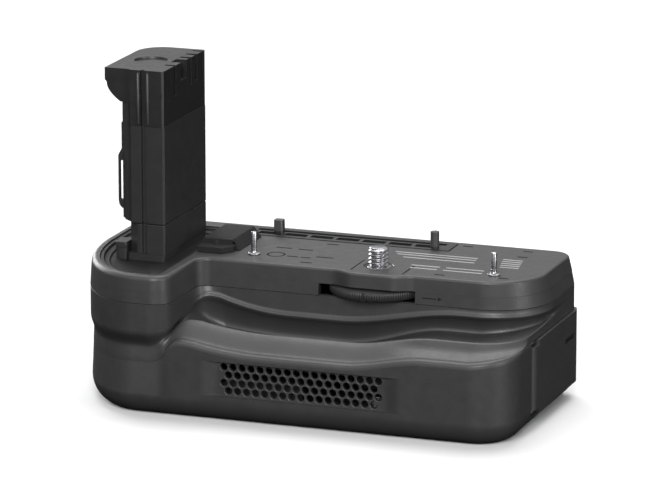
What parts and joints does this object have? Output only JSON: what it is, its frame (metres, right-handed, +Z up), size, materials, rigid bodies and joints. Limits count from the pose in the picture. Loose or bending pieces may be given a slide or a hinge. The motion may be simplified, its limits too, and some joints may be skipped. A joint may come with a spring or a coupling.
{
  "type": "camera battery grip",
  "caption": "Camera battery grip with a plug-in bay insert, thumb-wheel tripod screw, locating pins, front air grille with blower, top outlet strip and a hinged end door.",
  "frame": {"origin": "centre of the bounding box in plan, on the underside", "axes": "+X towards the end with the battery door, along the long side; +Y towards the back; +Z up, the way the insert goes into the camera"},
  "size_m": [0.1504, 0.076, 0.1055],
  "materials": {
    "shell": "fine textured",
    "black": "matt",
    "insert": "satin",
    "gloss": "gloss",
    "grille": "satin",
    "steel": "bright",
    "brass": "plain",
    "board": "satin",
    "battery": "matt"
  },
  "bodies": {
    "casing": {"upper_shell": "shell", "lower_shell": "shell", "vent_grille": "grille", "fan_housing": "black", "fan_bearing": "brass", "fan_stator": "brass", "air_duct": "black", "duct_frame": "black", "insert_base": "insert", "insert_column": "insert", "insert_cap": "gloss", "insert_contacts": "brass", "insert_loop": "insert", "insert_collar": "black", "insert_key": "insert", "ledge_block": "shell", "locating_pins": "steel", "chassis_plate": "steel", "screw_bush": "black", "wheel_bracket": "steel", "circuit_board": "board", "board_parts": "black", "contact_cable": "board", "battery_tray": "black", "battery_contacts": "brass", "battery": "battery", "hinge_bracket": "black", "hinge_pin": "steel", "tripod_socket": "steel", "assembly_posts": "black", "bottom_screws": "steel"},
    "lock": {"lock_wheel": "black", "tripod_screw": "steel", "retaining_ring": "steel"},
    "fan": {"fan_rotor": "black", "fan_shaft": "steel"},
    "door": {"battery_door": "shell"},
    "latch": {"door_latch": "black"}
  },
  "joints": [
    {"name": "wheel_turn", "type": "hinge", "parent": "casing", "child": "lock", "pos_m": [0.0196, -0.0001, 0.04], "axis": [0, 0, 1], "continuous": true},
    {"name": "fan_spin", "type": "hinge", "parent": "casing", "child": "fan", "pos_m": [-0.0146, -0.011, 0.007], "axis": [0, 0, 1], "continuous": true},
    {"name": "door_swing", "type": "hinge", "parent": "casing", "child": "door", "pos_m": [0.0725, -0.0098, 0.017], "axis": [0, 0, -1], "range_deg": [0, 95]},
    {"name": "latch_slide", "type": "slide", "parent": "door", "child": "latch", "axis": [0, -1, 0], "range_m": [0, 0.004], "stiffness_N_per_m": 40}
  ]
}
